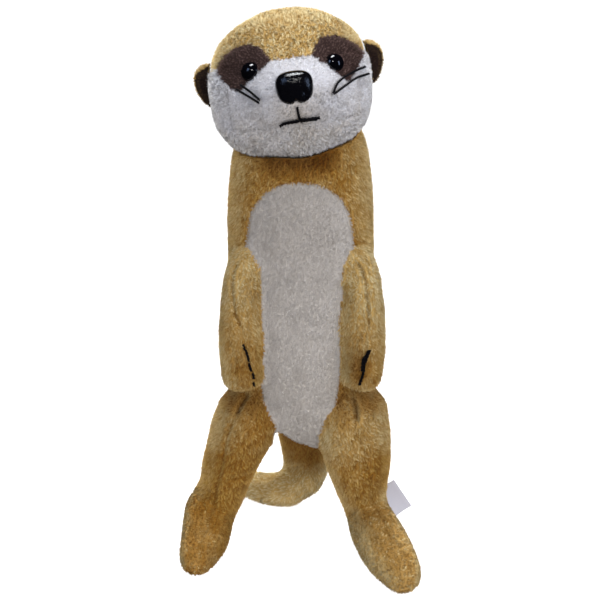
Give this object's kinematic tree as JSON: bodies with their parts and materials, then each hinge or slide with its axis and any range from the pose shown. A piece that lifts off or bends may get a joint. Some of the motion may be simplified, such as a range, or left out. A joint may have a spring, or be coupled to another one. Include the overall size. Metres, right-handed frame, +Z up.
{
  "type": "plush toy meerkat",
  "caption": "Stuffed plush meerkat standing upright on two long feet and its tail, with a tilted head, dark eye patches, plastic eyes and nose, and a pale belly panel.",
  "frame": {"origin": "middle of the bounding box's underside, on the floor between the feet and the tail", "axes": "+Z up through the body to the head; the toy faces -Y and its own left side is towards +X"},
  "size_m": [0.1456, 0.1398, 0.3315],
  "materials": {
    "tan_plush": "short tan pile plush",
    "white_plush": "short off-white pile plush",
    "brown_plush": "short dark brown pile plush",
    "dark_cloth": "dark brown ear lining cloth",
    "eye_plastic": "polished black",
    "nose_plastic": "polished black, lightly grained",
    "black_thread": "black embroidery thread",
    "tag_cloth": "blank white woven tape"
  },
  "bodies": {
    "root": {"crown": "tan_plush", "muzzle": "white_plush", "chin": "white_plush", "cheek_left": "white_plush", "cheek_right": "white_plush", "eye_patch_left": "brown_plush", "eye_patch_right": "brown_plush", "ear_left": "tan_plush", "ear_right": "tan_plush", "ear_lining_left": "dark_cloth", "ear_lining_right": "dark_cloth", "eye_left": "eye_plastic", "eye_right": "eye_plastic", "whiskers_left": "black_thread", "whiskers_right": "black_thread", "nose": "nose_plastic", "mouth": "black_thread", "neck": "tan_plush", "trunk": "tan_plush", "belly_panel": "white_plush", "arm_left": "tan_plush", "arm_right": "tan_plush", "paw_left": "tan_plush", "paw_right": "tan_plush", "paw_stitch_left": "black_thread", "paw_stitch_right": "black_thread", "leg_left": "tan_plush", "leg_right": "tan_plush", "foot_left": "tan_plush", "foot_right": "tan_plush", "tag": "tag_cloth", "tail_base": "tan_plush", "tail_middle": "tan_plush", "tail_tip": "tan_plush"}
  },
  "joints": []
}
